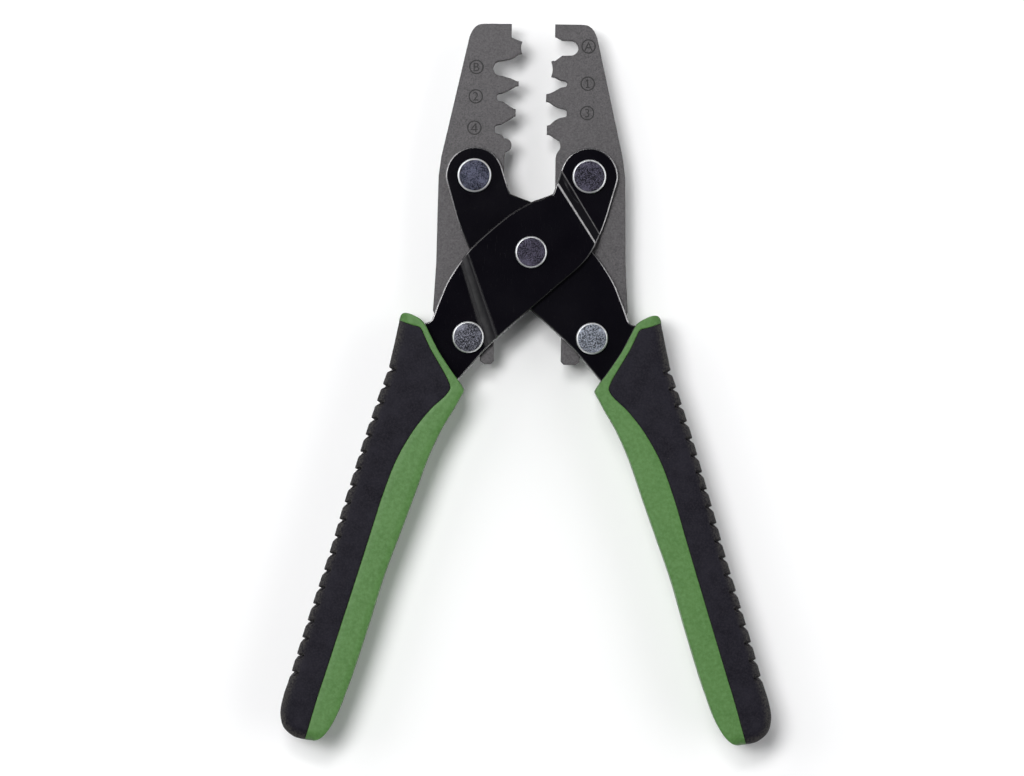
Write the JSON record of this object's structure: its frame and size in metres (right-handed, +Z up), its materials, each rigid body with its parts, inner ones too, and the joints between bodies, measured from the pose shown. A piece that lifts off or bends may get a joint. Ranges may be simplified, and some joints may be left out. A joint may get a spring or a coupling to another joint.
{
  "type": "crimping tool",
  "caption": "Plier-type crimping tool for open-barrel wire terminals, with parallel die plates on crossed links and two-colour grips, shown open.",
  "frame": {"origin": "centre of the rectangle the open tool covers as it lies flat, on the surface it lies on", "axes": "+X to the right, +Y from the grips' butts to the jaw tips, +Z up out of the resting surface"},
  "size_m": [0.1418, 0.2078, 0.019],
  "materials": {
    "jaw_steel": "fine matt grey, phosphated or blasted steel plate",
    "link_steel": "near-black, smooth semi-gloss, on steel plate",
    "rivet_steel": "bare bright steel, fine grainy flat heads",
    "grip_core": "green moulded plastic, satin",
    "grip_cover": "black soft over-mould, matt"
  },
  "bodies": {
    "left_handle": {"left_front_link": "link_steel", "left_back_link": "link_steel", "left_tang_spacer": "link_steel", "left_upper_tang_rivet": "rivet_steel", "left_lower_tang_rivet": "rivet_steel", "left_grip_core": "grip_core", "left_grip_cover": "grip_cover", "centre_spacer": "link_steel", "centre_rivet": "rivet_steel", "lower_left_rivet": "rivet_steel", "upper_right_rivet": "rivet_steel"},
    "right_handle": {"right_front_link": "link_steel", "right_back_link": "link_steel", "right_tang_spacer": "link_steel", "right_upper_tang_rivet": "rivet_steel", "right_lower_tang_rivet": "rivet_steel", "right_grip_core": "grip_core", "right_grip_cover": "grip_cover", "upper_left_rivet": "rivet_steel", "lower_right_rivet": "rivet_steel"},
    "left_jaw": {"left_jaw": "jaw_steel"},
    "right_jaw": {"right_jaw": "jaw_steel"}
  },
  "joints": [
    {"name": "handle_pivot", "type": "hinge", "parent": "left_handle", "child": "right_handle", "pos_m": [0, 0.03845, 0.0095], "axis": [0, 0, -1], "range_deg": [0, 29.4]},
    {"name": "left_jaw_pivot", "type": "hinge", "parent": "right_handle", "child": "left_jaw", "pos_m": [-0.0166, 0.06055, 0.0095], "axis": [0, 0, 1], "range_deg": [0, 14.7]},
    {"name": "right_jaw_pivot", "type": "hinge", "parent": "left_handle", "child": "right_jaw", "pos_m": [0.0166, 0.06055, 0.0095], "axis": [0, 0, -1], "range_deg": [0, 14.7]}
  ],
  "couplings": [
    {"joint": "left_jaw_pivot", "follows": "handle_pivot", "ratio": 0.5},
    {"joint": "right_jaw_pivot", "follows": "handle_pivot", "ratio": 0.5}
  ]
}
